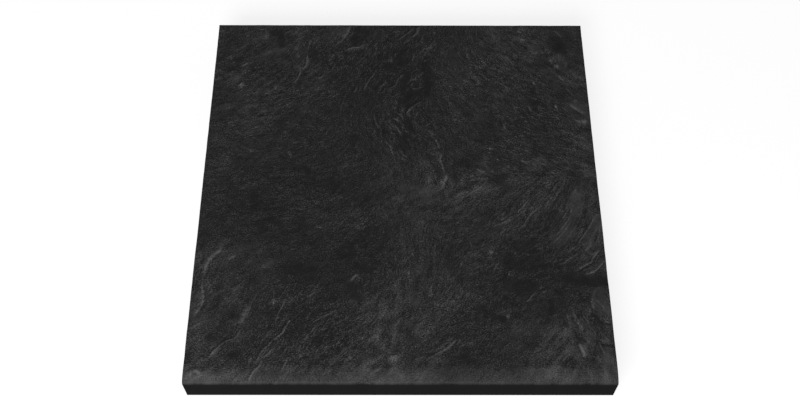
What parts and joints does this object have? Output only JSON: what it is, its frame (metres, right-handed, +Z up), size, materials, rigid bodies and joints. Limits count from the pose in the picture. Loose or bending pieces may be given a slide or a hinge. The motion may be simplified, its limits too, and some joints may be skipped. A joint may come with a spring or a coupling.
{
  "type": "slate slab",
  "caption": "Sawn slate slab with a cleft, grained top, a rolled front edge and square sides and back, for laying flat as a step, tread, hearth or paving.",
  "frame": {"origin": "middle of the flat underside, on the surface that the slab rests on", "axes": "+Z up through the thickness, +Y along the depth from the rolled front edge to the back, +X along the width to the right"},
  "size_m": [0.45, 0.47, 0.038],
  "materials": {
    "slate": "near-black slate, its top cleft with a fine combed grain and low ledges that show lighter grey, its sides sawn smooth and darker"
  },
  "bodies": {
    "root": {"slab": "slate"}
  },
  "joints": []
}
